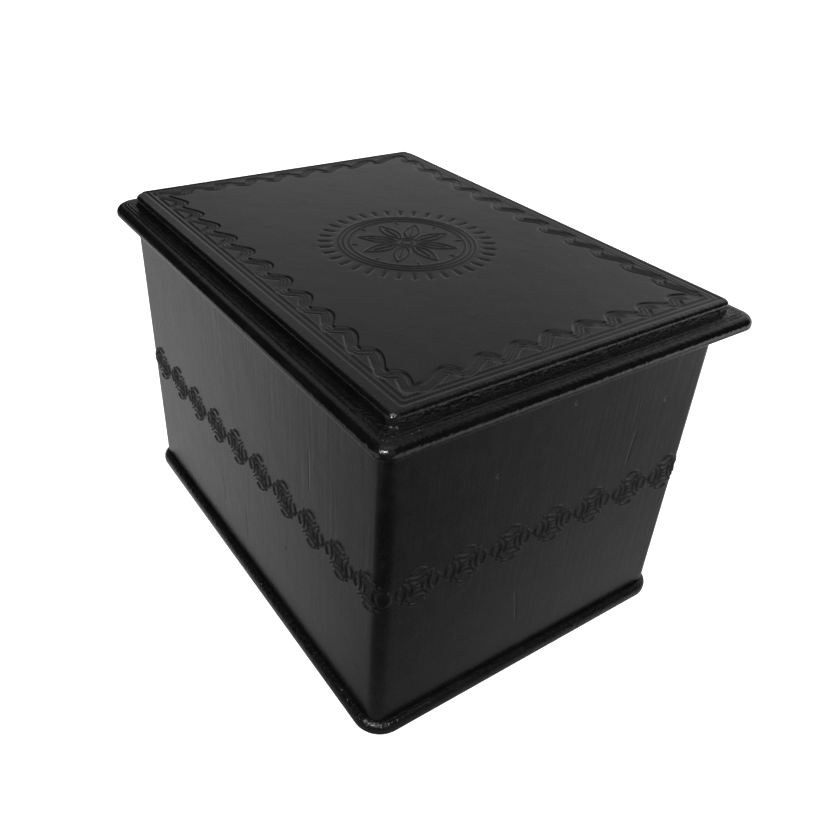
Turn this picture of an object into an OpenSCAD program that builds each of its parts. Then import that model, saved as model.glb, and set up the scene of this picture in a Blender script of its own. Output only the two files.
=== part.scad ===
// Leather-covered stationery box with a two-tier hinged lid, a plinth and a lined inside.
// The origin is on the table, under the middle of the lid. X runs along the front, Y to the back.

/* [Body] */
// Length of the walls over the leather
body_l = 200; // [160:1:260]
// Width of the walls over the leather
body_w = 144; // [110:1:190]
// Height of the rim that the lid rests on, above the table
rim_z = 132.2; // [90:0.1:180]
// Radius of the upright corners over the leather
body_corner_r = 5; // [3:0.5:8]
// Thickness of the wall boards
wall_t = 6; // [5:0.5:9]
// Thickness left on the long boards where the corner rebate houses the short boards
tongue_t = 3; // [2:0.5:4]

/* [Leather] */
// Thickness of the covering leather
leather_t = 0.8; // [0.5:0.1:1.4]
// Thickness of the leather where it is pared to fold inside the rim
pared_t = 0.5; // [0.3:0.1:0.8]
// Depth of the leather folded down inside the rim
turn_in = 10; // [6:1:16]
// Width of the leather folded in under the plinth
under_fold = 14; // [10:1:20]
// Gap between the two butted ends of the wall leather, at the back
seam_gap = 0.3; // [0.2:0.1:0.6]
// Distance of the seam from the middle of the back wall
seam_x = 60; // [0:1:70]

/* [Plinth] */
// How far the plinth stands out from the walls
plinth_out = 3.2; // [2:0.1:8]
// Height of the plinth's top face above the table
plinth_top_z = 6.2; // [5.5:0.1:12]
// Corner radius of the plinth
plinth_corner_r = 11; // [8:0.5:16]
// Rounding of the plinth's edges
plinth_edge_r = 2.4; // [1.5:0.1:2.6]
// How far the felt pad stands below the plinth leather
felt_proud = 0.3; // [0.2:0.1:1]
// Gap between the felt pad and the folded leather
felt_gap = 0.3; // [0.2:0.1:1]

/* [Lid] */
// Thickness of the lower tier
tier_t = 4.7; // [4.5:0.1:8]
// How far the lower tier stands out from the walls
tier_out = 8.7; // [6:0.1:14]
// Corner radius of the lower tier
tier_corner_r = 11; // [8:0.5:16]
// Rounding of the lower tier's edges
tier_edge_r = 2.1; // [1.2:0.1:2.2]
// Height of the raised panel above the lower tier
panel_t = 4.4; // [3.5:0.1:8]
// How far the raised panel stands out from the walls
panel_out = 0.9; // [-10:0.1:3]
// Corner radius of the raised panel
panel_corner_r = 7.5; // [5:0.5:12]
// Rounding of the raised panel's top edge
panel_edge_r = 1.5; // [1.2:0.1:2.5]
// How far the lid sits towards the back, from the middle of the walls
lid_back = 1.2; // [0:0.1:2]

/* [Hinge] */
// Thickness of the hinge leather
hinge_t = 0.8; // [0.5:0.1:1.5]
// Straight walls left bare at each end of the hinge leather
hinge_end = 1; // [0.5:0.5:40]
// Height of the hinge flap glued on the back wall
hinge_flap_h = 15; // [8:1:30]
// Margin from the lid flap to the lower tier's rounded edge
hinge_margin = 0.6; // [0.2:0.1:2]
// Clearance between the rolled fold and the lid flap
fold_gap = 0.15; // [0.05:0.05:0.4]

/* [Lining] */
// Thickness of the wall and floor lining panels
lining_t = 1.4; // [1:0.1:2.5]
// Distance from the rim down to the top of the wall linings
lining_drop = 4; // [2:0.5:8]
// Clearance between neighbouring lining panels
lining_gap = 0.2; // [0.1:0.05:0.5]
// Clearance between the lid's lining panel and the inside of the walls
lid_lining_gap = 1.2; // [0.8:0.1:3]
// How far the lid's lining panel stands below the rim
lid_lining_down = 0.9; // [0.5:0.1:1.8]

/* [Pins] */
// Diameter of the corner pins
corner_pin_d = 1.2; // [0.8:0.1:1.6]
// Length of the corner pins
corner_pin_l = 14; // [10:1:25]
// Number of pins at each corner
corner_pins = 4; // [2:1:6]
// Diameter of the base pins
base_pin_d = 1.6; // [1:0.1:2]
// Length of the base pins
base_pin_l = 16; // [12:1:25]
// Number of base pins along each long wall
base_pins_long = 4; // [2:1:6]
// How far each pin's head is punched below the board's face
pin_sink = 0.5; // [0.2:0.1:1]
// Clearance round each pin
pin_gap = 0.02; // [0.01:0.01:0.05]

/* [Hidden] */
$fn = 48;

// Allowance by which cutting solids pass through a face
cut = 1;

// The walls sit this far forward of the lid, so the lid's middle is over the origin
body_y = -lid_back;

// Boards, inside the leather
board_l = body_l - 2 * leather_t;
board_w = body_w - 2 * leather_t;
board_r = body_corner_r - leather_t;
board_top_z = rim_z - leather_t;
board_h = board_top_z - plinth_top_z;

// Inside of the boards
room_l = board_l - 2 * wall_t;
room_w = board_w - 2 * wall_t;

// Plinth, over the leather and inside it
plinth_l = body_l + 2 * plinth_out;
plinth_w = body_w + 2 * plinth_out;
plinth_skin_z = felt_proud;
plinth_skin_h = plinth_top_z - plinth_skin_z;
plinth_board_z = plinth_skin_z + leather_t;
plinth_board_h = plinth_skin_h - 2 * leather_t;

// Lid, over the leather
tier_l = body_l + 2 * tier_out;
tier_w = body_w + 2 * tier_out;
panel_l = body_l + 2 * panel_out;
panel_w = body_w + 2 * panel_out;
tier_top_z = rim_z + tier_t;
lid_top_z = tier_top_z + panel_t;
lid_board_z = rim_z + leather_t;
lid_board_h = tier_t - 2 * leather_t;
panel_board_z = lid_board_z + lid_board_h;
panel_board_h = lid_top_z - leather_t - panel_board_z;

// Hinge axis: half the folded thickness outside the back wall and below the lid
back_y = body_y + body_w / 2;
axis_y = back_y + hinge_t;
axis_z = rim_z - hinge_t;
hinge_l = body_l - 2 * body_corner_r - 2 * hinge_end;
lid_flap_y = axis_y + hinge_t + fold_gap;
lid_flap_w = tier_w / 2 - tier_edge_r - hinge_margin - lid_flap_y;

// Linings
floor_top_z = plinth_top_z + lining_t;
lining_h = rim_z - lining_drop - plinth_top_z;
side_lining_w = room_w - 2 * lining_t - 2 * lining_gap;
floor_l = room_l - 2 * lining_t - 2 * lining_gap;
floor_w = room_w - 2 * lining_t - 2 * lining_gap;

// Pins
corner_pin_x = board_l / 2 - wall_t / 2;
corner_pin_pitch = board_h / corner_pins;
base_pin_z = plinth_board_z + pin_sink;
base_pin_x = board_l / 2 - wall_t / 2;
base_pin_y = board_w / 2 - wall_t / 2;
base_pin_pitch = (room_l - 2 * wall_t) / (base_pins_long - 1);

// Flat shape with round corners, centred
module round_rect(l, w, r) {
    square([l - 2 * r, w], center = true);
    square([l, w - 2 * r], center = true);
    for (sx = [-1, 1], sy = [-1, 1])
        translate([sx * (l / 2 - r), sy * (w / 2 - r)])
            circle(r);
}

// Upright slab with round corners and square edges
module slab(l, w, r, z, h) {
    translate([0, 0, z])
        linear_extrude(h)
            round_rect(l, w, r);
}

// Section of a rounded edge: the body side at x = 0, the outside at x = r
module edge_section(r, h, top_r, bottom_r) {
    square([r - max(top_r, bottom_r), h]);
    translate([0, bottom_r])
        square([r, h - top_r - bottom_r]);
    square([r - bottom_r, bottom_r + 0.01]);
    translate([0, h - top_r - 0.01])
        square([r - top_r, top_r + 0.01]);
    intersection() {
        square([r, h]);
        union() {
            if (bottom_r > 0)
                translate([r - bottom_r, bottom_r])
                    circle(bottom_r);
            if (top_r > 0)
                translate([r - top_r, h - top_r])
                    circle(top_r);
        }
    }
}

// Plate with round corners in plan and rounded edges in section, standing on z
module soft_plate(l, w, r, z, h, top_r, bottom_r) {
    run_l = l - 2 * r;
    run_w = w - 2 * r;
    translate([0, 0, z]) {
        translate([-run_l / 2, -run_w / 2, 0])
            cube([run_l, run_w, h]);
        for (turn = [0, 180])
            rotate([0, 0, turn]) {
                translate([run_l / 2, run_w / 2, 0])
                    rotate([90, 0, 0])
                        linear_extrude(run_w)
                            edge_section(r, h, top_r, bottom_r);
                translate([-run_l / 2, run_w / 2, 0])
                    rotate([90, 0, 90])
                        linear_extrude(run_l)
                            edge_section(r, h, top_r, bottom_r);
                translate([run_l / 2, run_w / 2, 0])
                    rotate_extrude(angle = 90)
                        edge_section(r, h, top_r, bottom_r);
                translate([-run_l / 2, run_w / 2, 0])
                    rotate([0, 0, 90])
                        rotate_extrude(angle = 90)
                            edge_section(r, h, top_r, bottom_r);
            }
    }
}

// Inside pocket at the rim that takes the pared leather
module rim_pocket(z, h) {
    translate([0, 0, z + h / 2])
        cube([room_l + 2 * pared_t, room_w + 2 * pared_t, h], center = true);
}

// Pins through the long boards into the ends of the short boards, grown by extra
module corner_pin_set(extra) {
    for (sx = [-1, 1], sy = [-1, 1], i = [0 : corner_pins - 1])
        translate([
            sx * corner_pin_x,
            sy * (board_w / 2 - pin_sink),
            plinth_top_z + (i + 0.5) * corner_pin_pitch
        ])
            rotate([sy * 90, 0, 0])
                cylinder(h = corner_pin_l, d = corner_pin_d + 2 * extra);
}

// Pins up through the plinth into the walls, grown by extra
module base_pin_set(extra) {
    pin_d = base_pin_d + 2 * extra;
    for (sy = [-1, 1], i = [0 : base_pins_long - 1])
        translate([
            (i - (base_pins_long - 1) / 2) * base_pin_pitch,
            sy * base_pin_y,
            base_pin_z
        ])
            cylinder(h = base_pin_l, d = pin_d);
    for (sx = [-1, 1], sy = [-1, 1])
        translate([sx * base_pin_x, sy * room_w / 6, base_pin_z])
            cylinder(h = base_pin_l, d = pin_d);
}

// Open ends left where the pins are punched below the faces
module pin_mouths() {
    for (sx = [-1, 1], sy = [-1, 1], i = [0 : corner_pins - 1])
        translate([
            sx * corner_pin_x,
            sy * (board_w / 2 + cut),
            plinth_top_z + (i + 0.5) * corner_pin_pitch
        ])
            rotate([sy * 90, 0, 0])
                cylinder(h = pin_sink + 2 * cut, d = corner_pin_d + 2 * pin_gap);
}

// Long wall board with a rebate at each end, side is -1 at the front and 1 at the back
module long_board(side) {
    difference() {
        intersection() {
            slab(board_l, board_w, board_r, plinth_top_z, board_h);
            translate([
                -board_l / 2,
                side > 0 ? board_w / 2 - wall_t : -board_w / 2,
                plinth_top_z
            ])
                cube([board_l, wall_t, board_h]);
        }
        for (sx = [-1, 1])
            translate([
                sx > 0 ? board_l / 2 - wall_t : -board_l / 2 - cut,
                side > 0 ? board_w / 2 - wall_t - cut : -board_w / 2 + tongue_t,
                plinth_top_z - cut
            ])
                cube([wall_t + cut, wall_t - tongue_t + cut, board_h + 2 * cut]);
        rim_pocket(board_top_z - turn_in, turn_in + cut);
        corner_pin_set(pin_gap);
        pin_mouths();
        base_pin_set(pin_gap);
    }
}

// Short wall board, housed in the rebates, side is -1 at the left and 1 at the right
module short_board(side) {
    difference() {
        intersection() {
            slab(board_l, board_w, board_r, plinth_top_z, board_h);
            translate([
                side > 0 ? board_l / 2 - wall_t : -board_l / 2,
                -board_w / 2 + tongue_t,
                plinth_top_z
            ])
                cube([wall_t, board_w - 2 * tongue_t, board_h]);
        }
        rim_pocket(board_top_z - turn_in, turn_in + cut);
        corner_pin_set(pin_gap);
        base_pin_set(pin_gap);
    }
}

module front_board() {
    color("burlywood")
        translate([0, body_y, 0])
            long_board(-1);
}

module back_board() {
    color("burlywood")
        translate([0, body_y, 0])
            long_board(1);
}

module left_board() {
    color("tan")
        translate([0, body_y, 0])
            short_board(-1);
}

module right_board() {
    color("tan")
        translate([0, body_y, 0])
            short_board(1);
}

module plinth_board() {
    color("burlywood")
        translate([0, body_y, 0])
            difference() {
                soft_plate(
                    plinth_l - 2 * leather_t, plinth_w - 2 * leather_t,
                    plinth_corner_r - leather_t, plinth_board_z, plinth_board_h,
                    plinth_edge_r - leather_t, plinth_edge_r - leather_t
                );
                translate([0, 0, -pin_sink - cut])
                    base_pin_set(pin_gap);
                base_pin_set(pin_gap);
            }
}

// One strip of leather round the walls, folded over the rim and butted at the back
module wall_leather() {
    color("#15140f")
        translate([0, body_y, 0])
            difference() {
                slab(body_l, body_w, body_corner_r, plinth_top_z, rim_z - plinth_top_z);
                slab(
                    board_l, board_w, board_r,
                    plinth_top_z - cut, board_top_z - turn_in - plinth_top_z + cut
                );
                difference() {
                    slab(board_l, board_w, board_r, board_top_z - turn_in - cut, turn_in + cut);
                    rim_pocket(board_top_z - turn_in, turn_in + cut);
                }
                translate([0, 0, rim_z - turn_in])
                    cube([room_l, room_w, 4 * turn_in], center = true);
                translate([seam_x, body_w / 2, rim_z / 2])
                    cube([seam_gap, 2 * leather_t + cut, 2 * rim_z], center = true);
            }
}

module plinth_leather() {
    color("#15140f")
        translate([0, body_y, 0])
            difference() {
                soft_plate(
                    plinth_l, plinth_w, plinth_corner_r, plinth_skin_z, plinth_skin_h,
                    plinth_edge_r, plinth_edge_r
                );
                soft_plate(
                    plinth_l - 2 * leather_t, plinth_w - 2 * leather_t,
                    plinth_corner_r - leather_t, plinth_board_z, plinth_board_h,
                    plinth_edge_r - leather_t, plinth_edge_r - leather_t
                );
                translate([0, 0, plinth_skin_z + leather_t / 2])
                    cube(
                        [plinth_l - 2 * under_fold, plinth_w - 2 * under_fold, 2 * leather_t],
                        center = true
                    );
                base_pin_set(pin_gap);
            }
}

module base_felt() {
    color("#24221f")
        translate([0, body_y, plinth_board_z / 2])
            cube(
                [
                    plinth_l - 2 * under_fold - 2 * felt_gap,
                    plinth_w - 2 * under_fold - 2 * felt_gap,
                    plinth_board_z
                ],
                center = true
            );
}

module corner_pins() {
    color("silver")
        translate([0, body_y, 0])
            corner_pin_set(0);
}

module base_pins() {
    color("silver")
        translate([0, body_y, 0])
            base_pin_set(0);
}

// Lining panel on a long wall
module long_lining(side) {
    translate([
        -room_l / 2 + lining_gap,
        body_y + (side > 0 ? room_w / 2 - lining_t : -room_w / 2),
        plinth_top_z
    ])
        cube([room_l - 2 * lining_gap, lining_t, lining_h]);
}

// Lining panel on a short wall, between the long ones
module short_lining(side) {
    translate([
        side > 0 ? room_l / 2 - lining_t : -room_l / 2,
        body_y - side_lining_w / 2,
        plinth_top_z
    ])
        cube([lining_t, side_lining_w, lining_h]);
}

module front_lining() {
    color("#3a2b22")
        long_lining(-1);
}

module back_lining() {
    color("#3a2b22")
        long_lining(1);
}

module left_lining() {
    color("#33261e")
        short_lining(-1);
}

module right_lining() {
    color("#33261e")
        short_lining(1);
}

module floor_lining() {
    color("#2e221b")
        translate([-floor_l / 2, body_y - floor_w / 2, plinth_top_z])
            cube([floor_l, floor_w, floor_top_z - plinth_top_z]);
}

module lid_board() {
    color("burlywood")
        soft_plate(
            tier_l - 2 * leather_t, tier_w - 2 * leather_t, tier_corner_r - leather_t,
            lid_board_z, lid_board_h, tier_edge_r - leather_t, tier_edge_r - leather_t
        );
}

module lid_panel_board() {
    color("tan")
        soft_plate(
            panel_l - 2 * leather_t, panel_w - 2 * leather_t, panel_corner_r - leather_t,
            panel_board_z, panel_board_h, panel_edge_r - leather_t, 0
        );
}

// One skin over both tiers, folded in under the lower one
module lid_leather() {
    color("#15140f")
        difference() {
            union() {
                soft_plate(tier_l, tier_w, tier_corner_r, rim_z, tier_t, tier_edge_r, tier_edge_r);
                soft_plate(
                    panel_l, panel_w, panel_corner_r,
                    panel_board_z, lid_top_z - panel_board_z, panel_edge_r, 0
                );
            }
            soft_plate(
                tier_l - 2 * leather_t, tier_w - 2 * leather_t, tier_corner_r - leather_t,
                lid_board_z, lid_board_h, tier_edge_r - leather_t, tier_edge_r - leather_t
            );
            soft_plate(
                panel_l - 2 * leather_t, panel_w - 2 * leather_t, panel_corner_r - leather_t,
                panel_board_z, panel_board_h, panel_edge_r - leather_t, 0
            );
            translate([0, body_y, rim_z])
                cube(
                    [room_l - 2 * lid_lining_gap, room_w - 2 * lid_lining_gap, 2 * leather_t],
                    center = true
                );
        }
}

// Panel under the lid, let into the opening of the folded leather; it drops inside the rim
module lid_lining() {
    color("#3a2b22")
        translate([0, body_y, lid_board_z - (leather_t + lid_lining_down) / 2])
            cube(
                [
                    room_l - 2 * lid_lining_gap - 2 * lining_gap,
                    room_w - 2 * lid_lining_gap - 2 * lining_gap,
                    leather_t + lid_lining_down
                ],
                center = true
            );
}

// Flap glued on the back wall, with the rolled fold that the lid turns on
module hinge_strip() {
    color("#1b1a16") {
        translate([-hinge_l / 2, back_y, axis_z - hinge_flap_h])
            cube([hinge_l, hinge_t, hinge_flap_h]);
        translate([-hinge_l / 2, axis_y, axis_z])
            rotate([0, 90, 0])
                cylinder(h = hinge_l, r = hinge_t);
    }
}

// Flap glued under the lid's back overhang
module hinge_lid_flap() {
    color("#1b1a16")
        translate([-hinge_l / 2, lid_flap_y, axis_z])
            cube([hinge_l, lid_flap_w, hinge_t]);
}

front_board();
back_board();
left_board();
right_board();
plinth_board();
wall_leather();
plinth_leather();
base_felt();
corner_pins();
base_pins();
front_lining();
back_lining();
left_lining();
right_lining();
floor_lining();
lid_board();
lid_panel_board();
lid_leather();
lid_lining();
hinge_strip();
hinge_lid_flap();
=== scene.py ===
import math

import bpy
import numpy as np
from bpy.props import FloatProperty, FloatVectorProperty, IntProperty, PointerProperty
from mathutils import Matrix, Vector


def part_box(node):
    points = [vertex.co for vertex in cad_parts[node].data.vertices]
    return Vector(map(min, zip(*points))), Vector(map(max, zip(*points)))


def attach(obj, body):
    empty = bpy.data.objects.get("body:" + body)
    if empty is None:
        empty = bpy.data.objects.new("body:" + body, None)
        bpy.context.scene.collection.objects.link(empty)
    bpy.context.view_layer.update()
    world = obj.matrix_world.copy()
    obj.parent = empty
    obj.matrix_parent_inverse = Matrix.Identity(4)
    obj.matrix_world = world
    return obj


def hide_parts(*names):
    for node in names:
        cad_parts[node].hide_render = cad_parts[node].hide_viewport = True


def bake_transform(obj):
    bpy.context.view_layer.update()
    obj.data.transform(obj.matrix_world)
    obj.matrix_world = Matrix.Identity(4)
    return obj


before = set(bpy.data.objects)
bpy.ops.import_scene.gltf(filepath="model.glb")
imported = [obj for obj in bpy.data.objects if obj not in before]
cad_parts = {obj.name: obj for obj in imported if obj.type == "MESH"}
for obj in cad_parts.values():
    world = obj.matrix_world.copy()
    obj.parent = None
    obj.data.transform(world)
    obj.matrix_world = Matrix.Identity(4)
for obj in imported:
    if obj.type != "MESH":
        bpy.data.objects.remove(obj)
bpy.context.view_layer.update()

bl_info = {
    "name": "Leather Stationery Box",
    "version": (1, 0, 0),
    "blender": (4, 5, 0),
    "location": "View3D > Sidebar > Leather Box",
    "description": "Dresses a leather-covered stationery box with tooled leather, suede and felt",
    "category": "Add Mesh",
}

# The pieces are worked out in millimetres and their meshes are made in metres
MM = 0.001


# Sizes taken from the frame

def node_box(name):
    """Lowest and highest corner of a CAD node, in millimetres."""
    low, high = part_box(name)
    return np.array(low) / MM, np.array(high) / MM


WALL_LOW, WALL_HIGH = node_box("wall_leather")
PLINTH_LOW, PLINTH_HIGH = node_box("plinth_leather")
LID_LOW, LID_HIGH = node_box("lid_leather")
PANEL_LOW, PANEL_HIGH = node_box("lid_panel_board")
LID_LINING_LOW, LID_LINING_HIGH = node_box("lid_lining")
STRIP_LOW, STRIP_HIGH = node_box("hinge_strip")
FLAP_LOW, FLAP_HIGH = node_box("hinge_lid_flap")
FRONT_BOARD_LOW, FRONT_BOARD_HIGH = node_box("front_board")
FELT_LOW, FELT_HIGH = node_box("base_felt")

LEATHER_T = FRONT_BOARD_LOW[1] - WALL_LOW[1]
RIM_Z = WALL_HIGH[2]
BODY_Y = (WALL_LOW[1] + WALL_HIGH[1]) / 2
TIER_TOP_Z = PANEL_LOW[2] + LEATHER_T
TOP_Z = LID_HIGH[2]
HINGE_AXIS = np.array([0.0, STRIP_HIGH[1] - LEATHER_T, FLAP_LOW[2]])


def length_of(name, description, millimetres):
    return FloatProperty(
        name=name, description=description, default=millimetres * MM,
        subtype="DISTANCE", unit="LENGTH", precision=5)


def radii_of(name, description, millimetres):
    return FloatVectorProperty(
        name=name, description=description + ", anticlockwise from the front right", size=4,
        default=tuple(r * MM for r in millimetres), unit="LENGTH", precision=5)


def colour_of(name, description, colour):
    return FloatVectorProperty(
        name=name, description=description, subtype="COLOR", size=3, min=0, max=1, default=colour)


class BoxSizes(bpy.types.PropertyGroup):
    corner_r: length_of("Wall Corner", "Radius of the upright corners", 5)
    rim_r: length_of("Rim Rounding", "Rounding of the leather over the rim", 1.1)
    plinth_corner_r: length_of("Plinth Corner", "Corner radius of the plinth", 11)
    plinth_edge_r: length_of("Plinth Edge", "Rounding of the plinth's edges", 2.4)
    tier_corner_r: radii_of("Tier Corners", "Corner radii of the lower tier", (5.5, 7, 9, 11))
    tier_edge_r: length_of("Tier Edge", "Rounding of the lower tier's edges", 2.1)
    panel_corner_r: radii_of("Panel Corners", "Corner radii of the raised panel", (3, 3.5, 6, 7.5))
    panel_edge_r: length_of("Panel Edge", "Rounding of the raised panel's top edge", 1.5)
    motif_width: length_of("Motif Line", "Half width of a raised line in the wall band", 0.76)
    motif_height: length_of("Motif Height", "Height of a raised line in the wall band", 0.6)
    wave_width: length_of("Wave Ribbon", "Half width of the pressed ribbon on the lid", 2.7)
    wave_depth: length_of("Wave Depth", "Depth of the pressed ribbon on the lid", 0.42)
    line_height: length_of("Fine Line Height", "Height of the fine lines on the lid", 0.26)
    ray_count: IntProperty(name="Rays", description="Number of rays round the medallion", default=36)


class BoxFinishes(bpy.types.PropertyGroup):
    leather_colour: colour_of("Leather", "Colour of the covering leather", (0.0030, 0.0029, 0.0028))
    leather_roughness: FloatProperty(
        name="Leather Roughness", description="Roughness of the polished leather",
        subtype="FACTOR", min=0, max=1, default=0.27)
    suede_colour: colour_of("Suede", "Colour of the suede lining", (0.050, 0.029, 0.018))
    felt_colour: colour_of("Felt", "Colour of the felt under the plinth", (0.016, 0.015, 0.014))
    board_colour: colour_of("Board", "Colour of the wooden boards", (0.50, 0.34, 0.19))
    steel_colour: colour_of("Steel", "Colour of the steel pins", (0.56, 0.56, 0.55))


# Nodes and shader maths

class Value:
    """A node's socket that is added, multiplied and compared like a number."""

    def __init__(self, net, socket):
        self.net = net
        self.socket = socket

    def math(self, operation, *others):
        return self.net.out(
            "ShaderNodeMath", "Value", {"operation": operation}, dict(enumerate((self, *others))))

    def __add__(self, other):
        return self.math("ADD", other)

    def __sub__(self, other):
        return self.math("SUBTRACT", other)

    def __rsub__(self, other):
        return self * -1.0 + other

    def __mul__(self, other):
        return self.math("MULTIPLY", other)

    def __truediv__(self, other):
        return self.math("DIVIDE", other)

    def __pow__(self, other):
        return self.math("POWER", other)

    def __abs__(self):
        return self.math("ABSOLUTE")

    __radd__ = __add__
    __rmul__ = __mul__

    def most(self, other):
        return self.math("MAXIMUM", other)

    def sine(self):
        return self.math("SINE")

    def step(self, low, high):
        """0 below low, 1 above high, smooth between them."""
        return self.net.out(
            "ShaderNodeMapRange", "Result", {"interpolation_type": "SMOOTHSTEP"},
            {"Value": self, "From Min": low, "From Max": high, "To Min": 0.0, "To Max": 1.0})


class Net:
    """The nodes and links of a finish or a tool."""

    def __init__(self, tree):
        self.tree = tree

    def node(self, kind, settings=None, sockets=None):
        """Adds a node, sets its settings, then gives its sockets their values or links."""
        node = self.tree.nodes.new(kind)
        for key, value in (settings or {}).items():
            setattr(node, key, value)
        for key, value in (sockets or {}).items():
            value = value.socket if isinstance(value, Value) else value
            if isinstance(value, bpy.types.NodeSocket):
                self.tree.links.new(value, node.inputs[key])
            else:
                node.inputs[key].default_value = value
        return node

    def out(self, kind, output, settings=None, sockets=None):
        return Value(self, self.node(kind, settings, sockets).outputs[output])

    def vector(self, operation, first, second):
        key = "Scale" if operation == "SCALE" else 1
        return self.out("ShaderNodeVectorMath", 0, {"operation": operation}, {0: first, key: second})

    def split(self, vector):
        node = self.node("ShaderNodeSeparateXYZ", None, {"Vector": vector})
        return [Value(self, node.outputs[i]) for i in range(3)]

    def join(self, x, y, z):
        return self.out("ShaderNodeCombineXYZ", "Vector", None, {"X": x, "Y": y, "Z": z})


class Finish(Net):
    """One procedural material, or the surroundings that the world shows."""

    def __init__(self, name, world=None):
        self.owner = world or bpy.data.materials.new(name)
        self.owner.use_nodes = True
        super().__init__(self.owner.node_tree)
        self.tree.nodes.clear()
        self.end = self.node("ShaderNodeOutputWorld" if world else "ShaderNodeOutputMaterial")
        self.looks = bpy.context.scene.box_finishes

    def place(self):
        """Object coordinates in millimetres."""
        return self.vector("SCALE", self.out("ShaderNodeTexCoord", "Object"), 1000.0)

    def attribute(self, name):
        return self.out("ShaderNodeAttribute", "Fac", {"attribute_name": name})

    def rays(self, *kinds):
        """Masks that are 1 for the rays of each kind."""
        paths = self.node("ShaderNodeLightPath")
        return [Value(self, paths.outputs["Is " + kind + " Ray"]) for kind in kinds]

    def noise(self, vector, scale, detail=2.0, roughness=0.5):
        return self.out(
            "ShaderNodeTexNoise", 0, None,
            {"Vector": vector, "Scale": scale, "Detail": detail, "Roughness": roughness})

    def cells(self, vector, scale, feature="F1"):
        return self.out(
            "ShaderNodeTexVoronoi", "Distance", {"feature": feature}, {"Vector": vector, "Scale": scale})

    def blend(self, factor, first, second):
        return self.out(
            "ShaderNodeMix", 2, {"data_type": "RGBA"}, {0: factor, 6: first, 7: second})

    def relief(self, height):
        """Bump from a height in millimetres."""
        return self.out(
            "ShaderNodeBump", "Normal", None, {"Height": height, "Distance": MM, "Strength": 1.0})

    def close(self, shader):
        """Ends the nodes in the given shader."""
        self.tree.links.new(shader.outputs[0], self.end.inputs["Surface"])
        return self.owner

    def surface(self, sockets):
        """Ends the nodes in the shader that every finish uses."""
        return self.close(self.node("ShaderNodeBsdfPrincipled", None, sockets))


def rgba(colour, level=1.0):
    return (*(c * level for c in colour), 1.0)


def leather_finish(name, streaks=0.0, folds=(), dents=()):
    """Polished black leather: pores, pebbles where the edge attribute is 1, streaks, folds and dents.
    The tooled attribute marks the pressed lines, which are duller."""
    f = Finish(name)
    at = f.place()
    x, y, z = f.split(at)
    edge = f.attribute("edge")
    tooled = f.attribute("tooled").step(0.25, 0.95)
    pebbles = f.cells(at, 1.05, "SMOOTH_F1")
    pores = f.noise(at, 2.4, 2.0, 0.55)
    waves = f.noise(at, 0.05, 2.0, 0.5)
    lumps = f.noise(at, 0.28, 2.0, 0.5)
    height = (pores - 0.5) * 0.010 + (waves - 0.5) * 0.22 + (lumps - 0.5) * 0.020
    height = height - pebbles * (edge * 0.26 + 0.004)
    wrinkles = f.noise(at, 0.5, 4.0, 0.62)
    height = height + (wrinkles - 0.5) * edge * 0.8
    if streaks:
        drawn = f.noise(f.join(x * 0.36, y * 0.36, z * 0.022), 1.0, 3.0, 0.6)
        patch = f.noise(at, 0.035).step(0.35, 0.65) * 0.7 + 0.3
        height = height + (drawn - 0.5) * patch * streaks
    sides = {
        "right": (y, x.step(90, 95)), "front": (x, 1 - y.step(-72, -68)), "back": (x, y.step(62, 68))}
    for face, along, low, high, lean, depth, half in folds:
        place, side = sides[face]
        middle = place - (along + (z - (low + high) / 2) * lean)
        line = 1 - abs(middle).step(0.0, half)
        run = z.step(low - 2, low + 3) * (1 - z.step(high - 3, high + 2))
        height = height - line * run * side * depth
    for face, along, level, size in dents:
        place, side = sides[face]
        away = ((place - along) ** 2.0 + (z - level) ** 2.0) ** 0.5
        height = height - (1 - away.step(size * 0.3, size)) * side * 0.22
    mottled = f.noise(at, 0.12, 3.0, 0.6)
    rough = f.looks.leather_roughness + (mottled - 0.5) * 0.10 + (pores - 0.5) * 0.05
    rough = rough - edge.step(0.0, 0.2) * 0.15 + tooled * 0.34
    tone = f.blend(
        mottled.step(0.35, 0.75), rgba(f.looks.leather_colour), rgba(f.looks.leather_colour, 1.7))
    return f.surface({
        "Base Color": tone, "Roughness": rough, "Normal": f.relief(height),
        "IOR": 1.5, "Coat Weight": 0.12 - tooled * 0.12, "Coat Roughness": 0.10})


def suede_finish(name):
    """Brushed brown suede: a fine nap, paler where it lies one way."""
    f = Finish(name)
    at = f.place()
    nap = f.noise(at, 3.2, 3.0, 0.65)
    brushed = f.noise(at, 0.045, 3.0, 0.55)
    height = nap * 0.10 + f.cells(at, 4.0) * 0.05
    tone = f.blend(
        (brushed + (nap - 0.5) * 0.35).step(0.32, 0.70),
        rgba(f.looks.suede_colour, 0.72), rgba(f.looks.suede_colour, 1.25))
    return f.surface({
        "Base Color": tone, "Roughness": 0.92 - brushed * 0.08, "Normal": f.relief(height),
        "Sheen Weight": 0.35, "Sheen Roughness": 0.45, "Specular IOR Level": 0.15})


def felt_finish(name):
    """Black felt: tangled fibres."""
    f = Finish(name)
    at = f.place()
    tangle = f.noise(at, 1.6, 4.0, 0.75)
    fibres = abs(f.noise(at, 2.8, 3.0, 0.7) - 0.5)
    tone = f.blend(tangle.step(0.3, 0.7), rgba(f.looks.felt_colour, 0.7), rgba(f.looks.felt_colour, 1.8))
    return f.surface({
        "Base Color": tone, "Roughness": 0.96 - tangle * 0.04,
        "Normal": f.relief(tangle * 0.18 - fibres * 0.25),
        "Sheen Weight": 0.25, "Specular IOR Level": 0.1})


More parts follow.
